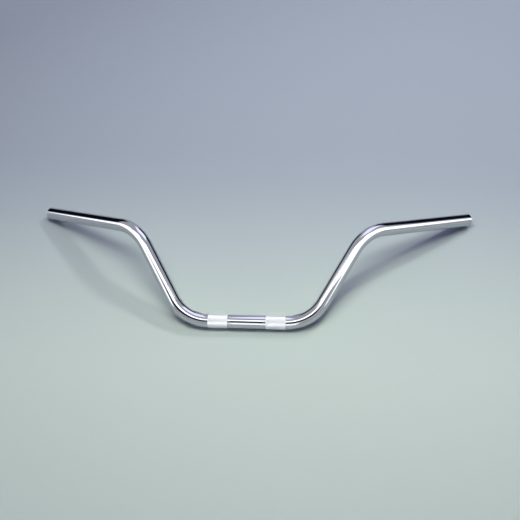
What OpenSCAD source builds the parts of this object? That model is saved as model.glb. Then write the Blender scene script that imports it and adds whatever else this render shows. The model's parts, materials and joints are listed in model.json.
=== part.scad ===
// Touring handlebar bent from one length of round steel tube, lying on a flat surface.
// +X runs along the straight clamp section, +Z is up, and the origin is the middle of its axis.
// The bar rests on its two knurled bands and on the outer ends of its two grips.

/* [Tube] */
// Outside diameter of the tube
tube_d = 22.2; // [19:0.1:32]
// Wall thickness of the tube
tube_wall = 2.3; // [1.5:0.1:4]
// Chamfer on the inner and outer edges of both cut ends
edge_break = 0.4; // [0.1:0.1:0.7]

/* [Clamp section] */
// Length of the straight section that the riser clamps hold
clamp_l = 128; // [100:1:200]
// Length of each knurled band
knurl_l = 31.6; // [20:0.2:40]
// Plain tube between a knurled band and the start of the bend
knurl_inset = 1.2; // [0.6:0.1:8]
// How far the knurl stands proud of the tube
knurl_h = 0.15; // [0.05:0.05:0.5]

/* [Risers] */
// Radius of the lower bends, to the middle of the tube
lower_bend_r = 67; // [45:1:150]
// Angle of the lower bends in degrees
lower_bend_a = 60.5; // [20:0.5:85]
// Straight tube between the lower and the upper bend
riser_l = 100; // [30:1:200]

/* [Grips] */
// Turn of the upper bend's plane out of the lower bend's plane in degrees
plane_turn = 37.5; // [10:0.5:60]
// Radius of the upper bends, to the middle of the tube
upper_bend_r = 71; // [45:1:150]
// Angle of the upper bends in degrees
upper_bend_a = 54; // [20:0.5:85]
// Straight tube of each grip, from the upper bend to the cut end
grip_l = 180; // [120:1:260]

/* [Hidden] */
$fn = 96;

bore_d = tube_d - 2 * tube_wall;
knurl_d = tube_d + 2 * knurl_h;
// How much slimmer the tube comes off the bending former
bend_draw = 0.1;
// How far each bend's rod laps into the straight rods at its ends
bend_lap = 0.5;
// How far the bore's cutter runs out of each cut end
run_out = 1;
// How often the estimate of the turn that lays the bar down is repeated
lay_steps = 12;

// Directions and places in the right half before the bar is laid down: along is the riser's
// direction, and across is the side that the upper bend turns away from
along = [cos(lower_bend_a), sin(lower_bend_a), 0];
across = [-sin(lower_bend_a) * cos(plane_turn), cos(lower_bend_a) * cos(plane_turn), sin(plane_turn)];
grip_dir = cos(upper_bend_a) * along - sin(upper_bend_a) * across;
riser_start = [clamp_l / 2 + lower_bend_r * sin(lower_bend_a), lower_bend_r * (1 - cos(lower_bend_a)), 0];
grip_start = riser_start + (riser_l + upper_bend_r * sin(upper_bend_a)) * along
    - upper_bend_r * (1 - cos(upper_bend_a)) * across;
// Middle of the tube where the grip's full diameter ends, at the chamfer
touch = grip_start + (grip_l - edge_break) * grip_dir;

// Sine of the grip's slope once the bar is turned about the clamp axis
function slope(turn) = grip_dir[1] * sin(turn) + grip_dir[2] * cos(turn);
// Height of touch at which the grip's lowest edge is level with the underside of the knurl
function touch_z(turn) = tube_d / 2 * sqrt(1 - pow(slope(turn), 2)) - knurl_d / 2;
// Turn that lays both ends on the table, found by repeating the estimate
function lay_turn(turn, steps) = steps == 0 ? turn
    : lay_turn(asin(touch_z(turn) / norm([touch[1], touch[2]])) - atan2(touch[2], touch[1]), steps - 1);
laid_turn = lay_turn(0, lay_steps);

// Each rod starts at the origin and runs along +X, and what follows it starts where it ends
module straight_rod(l, d) rotate([0, 90, 0]) cylinder(d = d, h = l);

module tapered_rod(l, d, end_d) rotate([0, 90, 0]) cylinder(d1 = d, d2 = end_d, h = l);

// A bend is slimmer by bend_draw and laps inside the straight rods, so each joint is a clean step
module bent_rod(r, a, d) {
    lap_a = bend_lap / r * 180 / PI;
    translate([0, r, 0]) rotate([0, 0, -90 - lap_a])
        rotate_extrude(angle = a + 2 * lap_a) translate([r, 0]) circle(d = d - bend_draw);
}

module past_bend(r, a) translate([r * sin(a), r * (1 - cos(a)), 0]) rotate([0, 0, a]) children();

// Right half of the bar at one diameter, from the middle of the clamp section to the cut end.
// Beyond the grip's full diameter it tapers to end_d over end_l.
module half_rod(d, end_l, end_d) {
    straight_rod(clamp_l / 2, d);
    translate([clamp_l / 2, 0, 0]) {
        bent_rod(lower_bend_r, lower_bend_a, d);
        past_bend(lower_bend_r, lower_bend_a) {
            straight_rod(riser_l, d);
            translate([riser_l, 0, 0]) rotate([plane_turn + 180, 0, 0]) {
                bent_rod(upper_bend_r, upper_bend_a, d);
                past_bend(upper_bend_r, upper_bend_a) {
                    straight_rod(grip_l - edge_break, d);
                    translate([grip_l - edge_break, 0, 0]) tapered_rod(end_l, d, end_d);
                }
            }
        }
    }
}

module both_sides() {
    children();
    mirror([1, 0, 0]) children();
}

module outside() {
    half_rod(tube_d, edge_break, tube_d - 2 * edge_break);
    translate([clamp_l / 2 - knurl_inset - knurl_l, 0, 0]) straight_rod(knurl_l, knurl_d);
}

module bore() half_rod(bore_d, edge_break + run_out, bore_d + 2 * (edge_break + run_out));

module handlebar() color("gainsboro") rotate([laid_turn, 0, 0]) difference() {
    both_sides() outside();
    both_sides() bore();
}

handlebar();
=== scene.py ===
"""Chromed touring handlebar: one bent steel tube, lying on a pale studio floor.

The tube is worked out as one closed surface. Its path is straight lengths and circular bends,
its section is a ring carried along that path, and the two clamp bands carry a diamond knurl.
"""

import json
import math
from typing import NamedTuple

import bpy
import numpy as np
from mathutils import Matrix, Vector


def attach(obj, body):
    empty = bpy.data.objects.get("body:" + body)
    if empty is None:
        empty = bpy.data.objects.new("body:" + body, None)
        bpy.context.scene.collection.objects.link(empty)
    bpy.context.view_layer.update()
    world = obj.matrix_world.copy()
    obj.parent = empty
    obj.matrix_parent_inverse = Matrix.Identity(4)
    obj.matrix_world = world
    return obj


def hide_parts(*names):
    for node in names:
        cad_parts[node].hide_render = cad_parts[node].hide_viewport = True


bl_info = {
    "name": "Touring handlebar",
    "version": (1, 0, 0),
    "blender": (4, 5, 0),
    "location": "3D View > Sidebar > Handlebar",
    "description": "Builds a bent, knurled and chromed handlebar tube and its studio",
    "category": "Add Mesh",
}

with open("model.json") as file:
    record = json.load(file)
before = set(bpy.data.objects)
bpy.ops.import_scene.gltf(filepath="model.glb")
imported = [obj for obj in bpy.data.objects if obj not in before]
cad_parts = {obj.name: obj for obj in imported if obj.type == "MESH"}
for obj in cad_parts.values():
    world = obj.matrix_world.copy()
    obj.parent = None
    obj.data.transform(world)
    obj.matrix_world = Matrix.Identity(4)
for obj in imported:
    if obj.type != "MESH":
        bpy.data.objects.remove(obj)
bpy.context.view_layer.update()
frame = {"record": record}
MOUNTS = {mount["name"]: mount for mount in frame["record"]["mounts"]}

TUBE_NAME = "handlebar_tube"
BODY = "root"
CAD_NODE = "handlebar"

MILLIMETRE = 0.001
TUBE_RADIUS = MOUNTS["grip_right"]["dims"]["r_mm"] * MILLIMETRE
BAND_RADIUS = MOUNTS["clamp_band_right"]["dims"]["r_mm"] * MILLIMETRE
BAND_LENGTH = MOUNTS["clamp_band_right"]["dims"]["length_mm"] * MILLIMETRE
BAND_MIDDLE = MOUNTS["clamp_band_right"]["pos_m"][0]
BORE_RADIUS = MOUNTS["bar_end_right"]["dims"]["r_mm"] * MILLIMETRE
# How far the laid grip may point away from the frame's grip mount, as a part of a unit direction
DIRECTION_SLACK = 1e-4

# Numbers of the tube's finishes, in the order in which its mesh holds them
PLATED, KNURLED, BARE = range(3)


class HandlebarSizes(bpy.types.PropertyGroup):
    """Sizes of the tube, its bends and its knurled bands"""

    clamp_length: bpy.props.FloatProperty(
        name="Clamp section",
        description="Length of the straight section between the lower bends",
        default=0.128,
        unit="LENGTH",
    )
    lower_bend_radius: bpy.props.FloatProperty(
        name="Lower bend radius",
        description="Radius of the lower bends, to the middle of the tube",
        default=0.067,
        unit="LENGTH",
    )
    lower_bend_angle: bpy.props.FloatProperty(
        name="Lower bend angle",
        description="How far each lower bend turns the tube",
        default=math.radians(60.5),
        subtype="ANGLE",
    )
    riser_length: bpy.props.FloatProperty(
        name="Riser",
        description="Straight tube between the lower and the upper bend",
        default=0.1,
        unit="LENGTH",
    )
    plane_turn: bpy.props.FloatProperty(
        name="Plane turn",
        description="Turn of the upper bend's plane out of the lower bend's plane",
        default=math.radians(37.5),
        subtype="ANGLE",
    )
    upper_bend_radius: bpy.props.FloatProperty(
        name="Upper bend radius",
        description="Radius of the upper bends, to the middle of the tube",
        default=0.071,
        unit="LENGTH",
    )
    upper_bend_angle: bpy.props.FloatProperty(
        name="Upper bend angle",
        description="How far each upper bend turns the tube",
        default=math.radians(54),
        subtype="ANGLE",
    )
    grip_length: bpy.props.FloatProperty(
        name="Grip",
        description="Straight tube from the upper bend to the cut end",
        default=0.18,
        unit="LENGTH",
    )
    end_chamfer: bpy.props.FloatProperty(
        name="End chamfer",
        description="Chamfer on the outer edge of both cut ends",
        default=0.0004,
        precision=4,
        unit="LENGTH",
    )
    lip_round: bpy.props.FloatProperty(
        name="Lip rounding",
        description="Small rounding on the inner edge of both cut ends",
        default=0.00015,
        precision=5,
        unit="LENGTH",
    )
    knurl_depth: bpy.props.FloatProperty(
        name="Knurl depth",
        description="Depth of the knurl's grooves below its crests",
        default=0.00034,
        precision=5,
        unit="LENGTH",
    )
    knurl_rows: bpy.props.IntProperty(
        name="Knurl rows",
        description="Diamonds along one clamp band",
        default=23,
        min=8,
        max=40,
    )
    knurl_columns: bpy.props.IntProperty(
        name="Knurl columns",
        description="Diamonds round the tube",
        default=52,
        min=24,
        max=64,
    )


class HandlebarColours(bpy.types.PropertyGroup):
    """Colours of the plating, the knurl, the bore and the studio"""

    plating: bpy.props.FloatVectorProperty(
        name="Plating",
        description="Colour of the bright chrome plating",
        default=(0.56, 0.57, 0.60),
        subtype="COLOR",
        min=0.0,
        max=1.0,
    )
    knurl: bpy.props.FloatVectorProperty(
        name="Knurl",
        description="Colour of the plated knurl, which looks frosted",
        default=(0.86, 0.87, 0.88),
        subtype="COLOR",
        min=0.0,
        max=1.0,
    )
    bore: bpy.props.FloatVectorProperty(
        name="Bore",
        description="Colour of the bare drawn steel inside the tube",
        default=(0.33, 0.32, 0.31),
        subtype="COLOR",
        min=0.0,
        max=1.0,
    )
    surround: bpy.props.FloatVectorProperty(
        name="Surround",
        description="Colour of the pale surround behind the floor",
        default=(0.50, 0.52, 0.57),
        subtype="COLOR",
        min=0.0,
        max=1.0,
    )
    floor: bpy.props.FloatVectorProperty(
        name="Floor",
        description="Colour of the pale studio floor",
        default=(0.67, 0.77, 0.68),
        subtype="COLOR",
        min=0.0,
        max=1.0,
    )
    # The floor's colour at the back: painted shade, darker and bluer where less lamp light falls behind
    # the bar
    far_floor_shade: bpy.props.FloatVectorProperty(
        name="Far floor",
        description="Colour of the floor behind the bar",
        default=(0.40, 0.45, 0.50),
        subtype="COLOR",
        min=0.0,
        max=1.0,
    )


def half_path(sizes, along):
    """Path of the right half: straight, bend, straight, bend, straight, joined tangent to tangent.

    along is the distance from the middle, as an array. On a straight length the point is
    start + distance * tangent. On a bend of radius r it is centre + r * the radius turned about
    the bend's axis by distance / r, and the ring's two directions turn with it, so the ring
    never twists. Returns points, tangents, and the ring's first and second directions.
    """
    point = np.zeros(3)
    tangent = np.array([1.0, 0.0, 0.0])
    first = np.array([0.0, 1.0, 0.0])
    second = np.array([0.0, 0.0, 1.0])
    inward = np.array([0.0, 1.0, 0.0])
    # Each leg: its length, its bend's radius, and the turn of the bend's plane about the tube
    legs = (
        (sizes.clamp_length / 2, None, None),
        (sizes.lower_bend_radius * sizes.lower_bend_angle, sizes.lower_bend_radius, 0.0),
        (sizes.riser_length, None, None),
        (
            sizes.upper_bend_radius * sizes.upper_bend_angle,
            sizes.upper_bend_radius,
            sizes.plane_turn + math.pi,
        ),
        (sizes.grip_length, None, None),
    )
    shape = along.shape + (3,)
    points, tangents = np.zeros(shape), np.zeros(shape)
    firsts, seconds = np.zeros(shape), np.zeros(shape)
    begun = 0.0
    for index, (length, radius, roll) in enumerate(legs):
        last = index == len(legs) - 1
        inside = (along >= begun) & ((along < begun + length) | last)
        local = (along[inside] - begun)[:, None]
        if radius is None:
            points[inside] = point + local * tangent
            tangents[inside], firsts[inside], seconds[inside] = tangent, first, second
            point = point + length * tangent
        else:
            toward = turned(inward, tangent, roll)
            axis = np.cross(tangent, toward)
            angle = local / radius
            points[inside] = (
                point
                + radius * np.sin(angle) * tangent
                + radius * (1 - np.cos(angle)) * toward
            )
            tangents[inside] = turned(tangent, axis, angle)
            firsts[inside] = turned(first, axis, angle)
            seconds[inside] = turned(second, axis, angle)
            whole = length / radius
            point = (
                point
                + radius * math.sin(whole) * tangent
                + radius * (1 - math.cos(whole)) * toward
            )
            tangent, first, second, inward = (
                turned(v, axis, whole) for v in (tangent, first, second, toward)
            )
        begun += length
    return points, tangents, firsts, seconds


def turned(vector, axis, angle):
    """Turns vector about a unit axis by angle: v cos + (axis x v) sin + axis (axis . v)(1 - cos)."""
    cos, sin = np.cos(angle), np.sin(angle)
    return (
        vector * cos
        + np.cross(axis, vector) * sin
        + axis * np.dot(axis, vector) * (1 - cos)
    )


def half_length(sizes):
    """Length of the tube's middle line from the middle of the clamp section to a cut end."""
    return (
        sizes.clamp_length / 2
        + sizes.lower_bend_radius * sizes.lower_bend_angle
        + sizes.riser_length
        + sizes.upper_bend_radius * sizes.upper_bend_angle
        + sizes.grip_length
    )


def laying_turn(sizes):
    """Turn about the clamp axis that brings the grip's direction onto the frame's grip mount.

    Both directions are seen along X, and the turn is the difference of their angles there.
    """
    end = np.array([half_length(sizes)])
    tangent = half_path(sizes, end)[1][0]
    wanted = np.array(MOUNTS["grip_right"]["axis"])
    turn = math.atan2(wanted[2], wanted[1]) - math.atan2(tangent[2], tangent[1])
    laid = turned(tangent, np.array([1.0, 0.0, 0.0]), turn)
    if np.abs(laid - wanted).max() > DIRECTION_SLACK:
        raise RuntimeError("the bends don't lead to the frame's grip mount")
    return turn


def whole_path(sizes, along):
    """Both halves: the left is the right mirrored in X, with its tangent turned to run the same way."""
    points, tangents, firsts, seconds = half_path(sizes, np.abs(along))
    side = np.where(along < 0, -1.0, 1.0)
    for field in (points, firsts, seconds):
        field[:, 0] *= side
    tangents[:, 1:] *= side[:, None]
    turn = laying_turn(sizes)
    cos, sin = math.cos(turn), math.sin(turn)
    lay = np.array([[1, 0, 0], [0, cos, -sin], [0, sin, cos]])
    return tuple(field @ lay.T for field in (points, tangents, firsts, seconds))


# Stretches between the rings on each plain length of the outside, and on each bend
CLAMP_ROWS = 4
RISER_ROWS = 6
GRIP_ROWS = 8
BEND_ROWS = 44
# Rings along the bore
BORE_ROWS = 24
# Stretches that each diamond of the knurl is cut into, along the tube and round it
SAMPLES = 4
# How close a guard ring stands to a join, and to an edge of the rim
GUARD = 0.0006
RIM_GUARD = 0.00006
# How far past a band's ends, as a share of its length, a ring still counts as on the band
BAND_SLACK = 1e-6


def outer_rows(sizes):
    """Places along the right half where the outer surface has a ring, from the middle out.

    Bends are cut evenly, bands four to a diamond, and a guard ring stands close on each side of
    every join so that the shading of a straight length isn't pulled by the bend next to it.
    """
    clamp = sizes.clamp_length / 2
    lower = clamp + sizes.lower_bend_radius * sizes.lower_bend_angle
    riser = lower + sizes.riser_length
    upper = riser + sizes.upper_bend_radius * sizes.upper_bend_angle
    shoulder = upper + sizes.grip_length - sizes.end_chamfer
    band = BAND_MIDDLE - BAND_LENGTH / 2, BAND_MIDDLE + BAND_LENGTH / 2
    rows = [
        np.linspace(0.0, band[0] - GUARD, CLAMP_ROWS + 1)[1:],
        np.linspace(*band, SAMPLES * sizes.knurl_rows + 1),
        [band[1] + GUARD, clamp - GUARD / 2],
        np.linspace(clamp, lower, BEND_ROWS + 1),
        [lower + GUARD],
        np.linspace(lower, riser, RISER_ROWS + 1)[1:-1],
        [riser - GUARD],
        np.linspace(riser, upper, BEND_ROWS + 1),
        [upper + GUARD],
        np.linspace(upper, shoulder - RIM_GUARD, GRIP_ROWS + 1)[1:],
        [shoulder],
    ]
    return np.concatenate(rows)


def knurl_height(sizes, along, round_tube):
    """Depth of the diamond knurl below its crests, as a share from 0 at a crest to 1 in a groove.

    Two families of helical grooves cross: each is a triangle wave of (diamonds round) plus or
    minus (diamonds along), and the deeper of the two is taken. Also returns which rings are on
    a band.
    """
    distance = (np.abs(along) - (BAND_MIDDLE - BAND_LENGTH / 2)) / BAND_LENGTH
    lengthwise = (distance * sizes.knurl_rows)[:, None]
    around = (round_tube * sizes.knurl_columns)[None, :]
    waves = [
        2 * np.abs((around + sign * lengthwise) % 1.0 - 0.5) for sign in (1.0, -1.0)
    ]
    banded = (distance >= -BAND_SLACK) & (distance <= 1 + BAND_SLACK)
    return np.maximum(*waves), banded


def tube_surface(sizes):
    """The whole tube as one grid, closed along its length and round its section.

    Rows run along the outside from the left cut end to the right, over the rim, back through
    the bore and over the left rim. Each row is a ring round the path: point + radius * (cos *
    first + sin * second). The rim falls along the chamfer, crosses the cut face and rounds the
    lip, whose radius from the bore is lip * (1 - sin) and whose place is lip * (1 - cos) inside
    the end. Returns the grid of places and the finish of each row of faces.
    """
    columns = SAMPLES * sizes.knurl_columns
    round_tube = np.arange(columns) / columns
    end = half_length(sizes)
    right = outer_rows(sizes)
    chamfer, lip = sizes.end_chamfer, sizes.lip_round
    lip_angles = np.radians([0.0, 45.0, 90.0])
    guard = RIM_GUARD
    outside = np.concatenate([-right[::-1], [0.0], right])
    outside_radius = np.full(outside.shape, TUBE_RADIUS)
    rim = np.concatenate(
        [
            [end - chamfer + guard, end - guard, end, end],
            end - lip * (1 - np.cos(lip_angles)),
        ]
    )
    rim_radius = np.concatenate(
        [
            TUBE_RADIUS - np.array([guard, chamfer - guard, chamfer, chamfer + guard]),
            BORE_RADIUS + lip * (1 - np.sin(lip_angles)),
        ]
    )
    inner = end - lip - guard
    inside = np.linspace(inner, -inner, BORE_ROWS)
    along = np.concatenate([outside, rim, inside, -rim[::-1]])
    radius = np.concatenate(
        [outside_radius, rim_radius, np.full(BORE_ROWS, BORE_RADIUS), rim_radius[::-1]]
    )
    points, _, firsts, seconds = whole_path(sizes, along)

    radii = np.repeat(radius[:, None], columns, axis=1)
    depth, banded = knurl_height(sizes, outside, round_tube)
    knurled = BAND_RADIUS - sizes.knurl_depth * depth
    radii[: len(outside)] = np.where(banded[:, None], knurled, radii[: len(outside)])

    angle = 2 * math.pi * round_tube
    ring = (
        np.cos(angle)[None, :, None] * firsts[:, None, :]
        + np.sin(angle)[None, :, None] * seconds[:, None, :]
    )
    grid = points[:, None, :] + radii[:, :, None] * ring

    finish = np.full(len(along), PLATED)
    flags = np.zeros(len(along), bool)
    flags[: len(outside)] = banded
    finish[flags & np.roll(flags, -1)] = KNURLED
    first_bore = len(outside) + len(rim) - 1
    finish[first_bore : first_bore + BORE_ROWS + 1] = BARE
    return grid, finish


def mesh_from_grid(name, grid, finish):
    """Joins each grid place to its neighbours, wrapping both ways, with faces that look outwards."""
    rows, columns = grid.shape[:2]
    number = np.arange(rows * columns).reshape(rows, columns)
    ahead, aside = np.roll(number, -1, 0), np.roll(number, -1, 1)
    corner = np.roll(ahead, -1, 1)
    faces = np.stack([number, aside, corner, ahead], axis=-1).reshape(-1, 4)
    mesh = bpy.data.meshes.new(name)
    mesh.vertices.add(rows * columns)
    mesh.vertices.foreach_set("co", grid.reshape(-1).astype(np.float32))
    mesh.loops.add(faces.size)
    mesh.loops.foreach_set("vertex_index", faces.reshape(-1).astype(np.int32))
    mesh.polygons.add(len(faces))
    mesh.polygons.foreach_set("loop_start", np.arange(0, faces.size, 4, dtype=np.int32))
    material = np.repeat(finish, columns).astype(np.int32)
    mesh.polygons.foreach_set("material_index", material)
    mesh.polygons.foreach_set("use_smooth", material != KNURLED)
    mesh.update(calc_edges=True)
    mesh.validate()
    return mesh


def new_finish(name, colour, metallic, roughness):
    """A node material with its constant values set on the shader's own sockets."""
    material = bpy.data.materials.new(name)
    material.use_nodes = True
    shader = material.node_tree.nodes["Principled BSDF"]
    shader.inputs["Base Color"].default_value = (*colour, 1.0)
    shader.inputs["Metallic"].default_value = metallic
    shader.inputs["Roughness"].default_value = roughness
    return material, material.node_tree.nodes, material.node_tree.links, shader


def noise(nodes, links, source, scale, detail):
    """Noise of the given scale on a coordinate socket, from 0 to 1."""
    node = nodes.new("ShaderNodeTexNoise")
    node.inputs["Scale"].default_value = scale
    node.inputs["Detail"].default_value = detail
    links.new(source, node.inputs["Vector"])
    return node.outputs["Fac"]


def spread(nodes, links, source, low, high):
    """Maps 0..1 onto low..high."""
    node = nodes.new("ShaderNodeMapRange")
    node.inputs["To Min"].default_value = low
    node.inputs["To Max"].default_value = high
    links.new(source, node.inputs["Value"])
    return node.outputs["Result"]


# Depth of the plating's ripple, and how strongly it shows
RIPPLE_DEPTH = 0.0002
RIPPLE_STRENGTH = 0.02
# The darkest and the palest stain in the bore, as parts of the steel's colour
STAIN_STRENGTHS = (0.55, 1.25)


def plated_finish(colours):
    """Bright chrome: a mirror with faint polishing haze and a very shallow ripple in the plating."""
    material, nodes, links, shader = new_finish(
        "bright_chrome_plating", colours.plating, metallic=1.0, roughness=0.05
    )
    place = nodes.new("ShaderNodeTexCoord").outputs["Object"]
    haze = noise(nodes, links, place, scale=38.0, detail=4.0)
    links.new(
        spread(nodes, links, haze, low=0.03, high=0.085),
        shader.inputs["Roughness"],
    )
    ripple = noise(nodes, links, place, scale=260.0, detail=2.0)
    bump = nodes.new("ShaderNodeBump")
    bump.inputs["Strength"].default_value = RIPPLE_STRENGTH
    bump.inputs["Distance"].default_value = RIPPLE_DEPTH
    links.new(ripple, bump.inputs["Height"])
    links.new(bump.outputs["Normal"], shader.inputs["Normal"])
    return material


def knurled_finish(colours):
    """Frosted chrome on the knurl: pale and satin, duller in specks where the rolls bit deeper."""
    material, nodes, links, shader = new_finish(
        "frosted_knurl", colours.knurl, metallic=0.6, roughness=0.45
    )
    place = nodes.new("ShaderNodeTexCoord").outputs["Object"]
    speck = noise(nodes, links, place, scale=900.0, detail=3.0)
    links.new(
        spread(nodes, links, speck, low=0.34, high=0.54),
        shader.inputs["Roughness"],
    )
    return material


def bore_finish(colours):
    """Bare drawn steel inside the tube, with broad dull stains."""
    material, nodes, links, shader = new_finish(
        "bare_bore_steel", colours.bore, metallic=1.0, roughness=0.5
    )
    place = nodes.new("ShaderNodeTexCoord").outputs["Object"]
    stain = noise(nodes, links, place, scale=120.0, detail=5.0)
    links.new(
        spread(nodes, links, stain, low=0.4, high=0.72),
        shader.inputs["Roughness"],
    )
    ramp = nodes.new("ShaderNodeValToRGB")
    for element, strength in zip(ramp.color_ramp.elements, STAIN_STRENGTHS):
        element.color = (*[min(1.0, part * strength) for part in colours.bore], 1.0)
    links.new(stain, ramp.inputs["Fac"])
    links.new(ramp.outputs["Color"], shader.inputs["Base Color"])
    return material


# The camera, the lamps and the cards are placed about the picture's centre on the floor, with
# +Y away from the camera. BAR_OFFSET and BAR_YAW say where the bar lies there, and how it is turned.
CAMERA_PLACE = (0.0, -0.828139, 1.109093)
PICTURE_CENTRE = (0.0, 0.0, 0.0)
BAR_OFFSET = (-0.029149, -0.130961)
BAR_YAW = -0.12503
CAMERA_ROLL = -0.08052
# Length of the lens and width of the square picture, in pixels, and the sensor's width in millimetres
FOCAL_PIXELS = 800.0
FRAME_PIXELS = 520.0
SENSOR_WIDTH = 36.0

# The floor is level with the undersides of the clamp bands
FLOOR_Z = -BAND_RADIUS
# From the floor's middle to its sides
FLOOR_REACH = 4.0
# Where along the bar's Y the floor starts and stops turning to its far colour, a painted shade that
# darkens the floor towards the back
FLOOR_SHADE_FADE = (-0.13, 0.41)
# How far out the floor's painted glow starts and stops, fading the floor into the pale surround
FLOOR_GLOW_EDGE = (0.95, 1.9)
# How strongly the far floor glows in the surround's colour: painted light that the eye and the chrome
# see but that lights nothing
FAR_PAINTED_GLOW = 0.8
# Dim violet light that the surround gives, and the near black of the cards
SURROUND_LIGHT = (0.06, 0.048, 0.17)
CARD_BLACK = (0.012, 0.013, 0.022)


def studio_place(place):
    """A place given about the picture's centre on the floor, brought into the bar's frame."""
    x, y = place[0] - BAR_OFFSET[0], place[1] - BAR_OFFSET[1]
    cos, sin = math.cos(-BAR_YAW), math.sin(-BAR_YAW)
    return Vector((cos * x - sin * y, sin * x + cos * y, place[2] + FLOOR_Z))


def add_camera():
    """A camera above and in front of the bar, looking down at it, slightly rolled."""
    place, aim = studio_place(CAMERA_PLACE), studio_place(PICTURE_CENTRE)
    data = bpy.data.cameras.new("camera")
    data.sensor_width = SENSOR_WIDTH
    data.lens = FOCAL_PIXELS / FRAME_PIXELS * data.sensor_width
    camera = bpy.data.objects.new("camera", data)
    look = (aim - place).to_track_quat("-Z", "Y").to_matrix().to_4x4()
    camera.matrix_world = (
        Matrix.Translation(place) @ look @ Matrix.Rotation(CAMERA_ROLL, 4, "Z")
    )
    bpy.context.scene.collection.objects.link(camera)
    bpy.context.scene.camera = camera


class Lamp(NamedTuple):
    """A rectangular lamp: its middle, the point it faces, its width and height, and its light.

    The turn, in degrees, is about the line it faces along.
    """

    name: str
    middle: tuple
    faces: tuple
    size: tuple
    brightness: float
    turn: float = 0.0
    colour: tuple = (1.0, 1.0, 1.0)
    lights_floor: bool = False
    shows_in_plating: bool = True


VIOLET = (0.74, 0.72, 1.0)
PALE_GREEN = (0.97, 1.0, 0.91)
# The point on the floor that the slanted lamps face
AHEAD = (0.0, -0.1, 0.0)
# The key and the far lamp light what is dull, such as the floor, and don't show in the plating.
# The others show in the plating, and of them only the back one lights the floor as well.
LAMPS = (
    Lamp(
        "key", (0.0, 0.02, 1.5), (0.0, 0.02, 0.0), (1.3, 0.55), 6.6,
        turn=-6.0, colour=PALE_GREEN, lights_floor=True, shows_in_plating=False,
    ),
    Lamp("overhead", (0.0, -0.33, 1.5), (0.0, -0.33, 0.0), (2.9, 0.8), 2.2, turn=-6.0),
    Lamp("front_right", (1.1, -1.04, 1.53), (1.1, -1.04, 0.0), (2.0, 0.6), 1.9, turn=-33.0),
    Lamp(
        "back_overhead", (0.4, 1.0, 1.3), AHEAD, (1.0, 1.3), 1.3,
        colour=VIOLET, lights_floor=True,
    ),
    Lamp("right_side", (1.6, -0.73, 1.16), (0.0, -0.73, 1.16), (1.84, 1.48), 1.6),
    Lamp("left_side", (-1.6, -0.2, 1.12), (0.0, -0.2, 1.12), (1.6, 1.45), 1.6),
    Lamp("front_strip", (-0.19, -1.8, 0.7), AHEAD, (0.68, 0.8), 1.3),
    Lamp(
        "far_right", (1.02, 0.89, 1.39), AHEAD, (0.14, 0.14), 135.0,
        colour=PALE_GREEN, lights_floor=True, shows_in_plating=False,
    ),
)
# Each dark card: name and its four corners in order round it
DARK_CARDS = (
    (
        "flag_back_left",
        ((-1.9, 0.95, 0.0), (-0.45, 1.9, 0.0), (-0.45, 1.9, 1.0), (-1.9, 0.95, 1.0)),
    ),
    (
        "flag_back_right",
        ((0.5, 1.9, 0.0), (1.9, 0.65, 0.0), (1.9, 0.65, 1.15), (0.5, 1.9, 1.15)),
    ),
    (
        "flag_behind_camera",
        ((0.5, -1.5, 1.4), (-1.7, -1.6, 1.34), (-1.7, -0.9, 1.81), (0.3, -0.98, 1.81)),
    ),
)


def add_lamp(lamp):
    """A soft rectangular lamp. Its power is brightness * area * pi, so its face shows brightness."""
    data = bpy.data.lights.new(lamp.name, "AREA")
    data.shape = "RECTANGLE"
    width, height = lamp.size
    data.size, data.size_y = width, height
    data.energy = lamp.brightness * width * height * math.pi
    data.color = lamp.colour
    item = bpy.data.objects.new(lamp.name, data)
    facing = Vector(lamp.faces) - Vector(lamp.middle)
    face = (
        Matrix.Rotation(-BAR_YAW, 4, "Z")
        @ facing.to_track_quat("-Z", "Y").to_matrix().to_4x4()
        @ Matrix.Rotation(math.radians(lamp.turn), 4, "Z")
    )
    item.matrix_world = Matrix.Translation(studio_place(lamp.middle)) @ face
    item.visible_camera = False
    item.visible_diffuse = lamp.lights_floor
    item.visible_glossy = lamp.shows_in_plating
    bpy.context.scene.collection.objects.link(item)


def add_dark_card(name, corners):
    """A flat black card that gives the chrome its dark lines."""
    mesh = bpy.data.meshes.new(name)
    places = [tuple(studio_place(corner)) for corner in corners]
    mesh.from_pydata(places, [], [(0, 1, 2, 3)])
    material, _, _, shader = new_finish(name, CARD_BLACK, metallic=0.0, roughness=0.9)
    shader.inputs["Specular IOR Level"].default_value = 0.0
    mesh.materials.append(material)
    card = bpy.data.objects.new(name, mesh)
    card.visible_camera = False
    bpy.context.scene.collection.objects.link(card)


def seen_directly(nodes, links):
    """1 where the eye looks or the chrome mirrors, and 0 for light that falls on something."""
    path = nodes.new("ShaderNodeLightPath")
    seen = nodes.new("ShaderNodeMath")
    seen.operation = "MAXIMUM"
    links.new(path.outputs["Is Camera Ray"], seen.inputs[0])
    links.new(path.outputs["Is Glossy Ray"], seen.inputs[1])
    return seen.outputs[0]


def smooth_step(nodes, links, source, ends, top):
    """Rises smoothly from 0 at the first of ends to top at the second, and is level beyond them."""
    step = nodes.new("ShaderNodeMapRange")
    step.interpolation_type = "SMOOTHSTEP"
    step.inputs["From Min"].default_value = ends[0]
    step.inputs["From Max"].default_value = ends[1]
    step.inputs["To Max"].default_value = top
    links.new(source, step.inputs["Value"])
    return step.outputs["Result"]


def add_world(colours):
    """A pale surround for the eye and for the chrome, and dim violet light from it."""
    world = bpy.data.worlds.new("studio_surround")
    world.use_nodes = True
    nodes, links = world.node_tree.nodes, world.node_tree.links
    mix = nodes.new("ShaderNodeMix")
    mix.data_type = "RGBA"
    links.new(seen_directly(nodes, links), mix.inputs["Factor"])
    mix.inputs["A"].default_value = (*SURROUND_LIGHT, 1.0)
    mix.inputs["B"].default_value = (*colours.surround, 1.0)
    links.new(mix.outputs["Result"], nodes["Background"].inputs["Color"])
    bpy.context.scene.world = world


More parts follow.
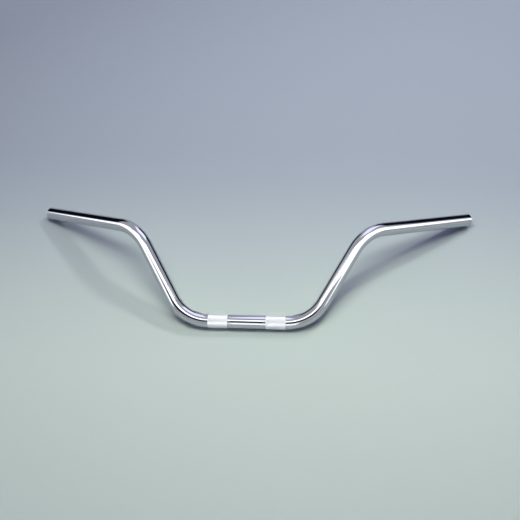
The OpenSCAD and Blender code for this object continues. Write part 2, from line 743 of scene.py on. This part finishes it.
def add_floor(colours):
    """A wide pale floor, flat under the bar, greyed towards the back with painted shade and faded out
    far off into the surround with a painted glow.
    """
    corners = np.array([[-1, -1], [1, -1], [1, 1], [-1, 1]]) * FLOOR_REACH
    mesh = bpy.data.meshes.new("studio_floor")
    mesh.from_pydata([(x, y, FLOOR_Z) for x, y in corners], [], [(0, 1, 2, 3)])
    floor = bpy.data.objects.new("studio_floor", mesh)
    bpy.context.scene.collection.objects.link(floor)
    material, nodes, links, shader = new_finish(
        "studio_paper", colours.floor, metallic=0.0, roughness=0.9
    )
    shader.inputs["Specular IOR Level"].default_value = 0.1
    place = nodes.new("ShaderNodeTexCoord").outputs["Object"]
    parts = nodes.new("ShaderNodeSeparateXYZ")
    links.new(place, parts.inputs["Vector"])
    # Painted shade: towards the back the floor's colour turns to its darker far colour, standing in for
    # less light falling there
    mix = nodes.new("ShaderNodeMix")
    mix.data_type = "RGBA"
    links.new(
        smooth_step(nodes, links, parts.outputs["Y"], FLOOR_SHADE_FADE, 1.0), mix.inputs["Factor"]
    )
    mix.inputs["A"].default_value = (*colours.floor, 1.0)
    mix.inputs["B"].default_value = (*colours.far_floor_shade, 1.0)
    links.new(mix.outputs["Result"], shader.inputs["Base Color"])
    # Painted light: far off, the floor glows in the surround's colour for the eye and the chrome only,
    # lighting nothing
    reach = nodes.new("ShaderNodeVectorMath")
    reach.operation = "LENGTH"
    links.new(place, reach.inputs[0])
    glow = nodes.new("ShaderNodeMath")
    glow.operation = "MULTIPLY"
    links.new(
        smooth_step(nodes, links, reach.outputs["Value"], FLOOR_GLOW_EDGE, FAR_PAINTED_GLOW), glow.inputs[0]
    )
    links.new(seen_directly(nodes, links), glow.inputs[1])
    links.new(glow.outputs[0], shader.inputs["Emission Strength"])
    shader.inputs["Emission Color"].default_value = (*colours.surround, 1.0)
    mesh.materials.append(material)


class HANDLEBAR_OT_tube(bpy.types.Operator):
    """Make the bent, knurled and plated tube"""

    bl_idname = "handlebar.tube"
    bl_label = "Handlebar tube"

    def execute(self, context):
        sizes = context.scene.handlebar_sizes
        colours = context.scene.handlebar_colours
        mesh = mesh_from_grid(TUBE_NAME, *tube_surface(sizes))
        for finish in (plated_finish, knurled_finish, bore_finish):
            mesh.materials.append(finish(colours))
        tube = bpy.data.objects.new(TUBE_NAME, mesh)
        context.scene.collection.objects.link(tube)
        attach(tube, BODY)
        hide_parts(CAD_NODE)
        return {"FINISHED"}


class HANDLEBAR_OT_studio(bpy.types.Operator):
    """Make the floor, the lamps and the camera"""

    bl_idname = "handlebar.studio"
    bl_label = "Studio"

    def execute(self, context):
        scene = context.scene
        add_floor(scene.handlebar_colours)
        add_camera()
        add_world(scene.handlebar_colours)
        for lamp in LAMPS:
            add_lamp(lamp)
        for card in DARK_CARDS:
            add_dark_card(*card)
        scene.view_settings.view_transform = "Standard"
        return {"FINISHED"}


class HANDLEBAR_PT_panel(bpy.types.Panel):
    """Lists the handlebar's sizes, colours and operators"""

    bl_idname = "HANDLEBAR_PT_panel"
    bl_label = "Touring handlebar"
    bl_space_type = "VIEW_3D"
    bl_region_type = "UI"
    bl_category = "Handlebar"

    def draw(self, context):
        for group in (context.scene.handlebar_sizes, context.scene.handlebar_colours):
            for name in group.__annotations__:
                self.layout.prop(group, name)
        for operator in (HANDLEBAR_OT_tube, HANDLEBAR_OT_studio):
            self.layout.operator(operator.bl_idname)


CLASSES = (
    HandlebarSizes,
    HandlebarColours,
    HANDLEBAR_OT_tube,
    HANDLEBAR_OT_studio,
    HANDLEBAR_PT_panel,
)


def register():
    """Adds the sizes, the colours, the operators and the panel to Blender."""
    for cls in CLASSES:
        bpy.utils.register_class(cls)
    bpy.types.Scene.handlebar_sizes = bpy.props.PointerProperty(type=HandlebarSizes)
    bpy.types.Scene.handlebar_colours = bpy.props.PointerProperty(type=HandlebarColours)


def unregister():
    """Takes out what register added."""
    del bpy.types.Scene.handlebar_colours
    del bpy.types.Scene.handlebar_sizes
    for cls in reversed(CLASSES):
        bpy.utils.unregister_class(cls)


def main():
    """Builds the tube and the studio."""
    register()
    bpy.ops.handlebar.tube()
    bpy.ops.handlebar.studio()


if __name__ == "__main__":
    main()
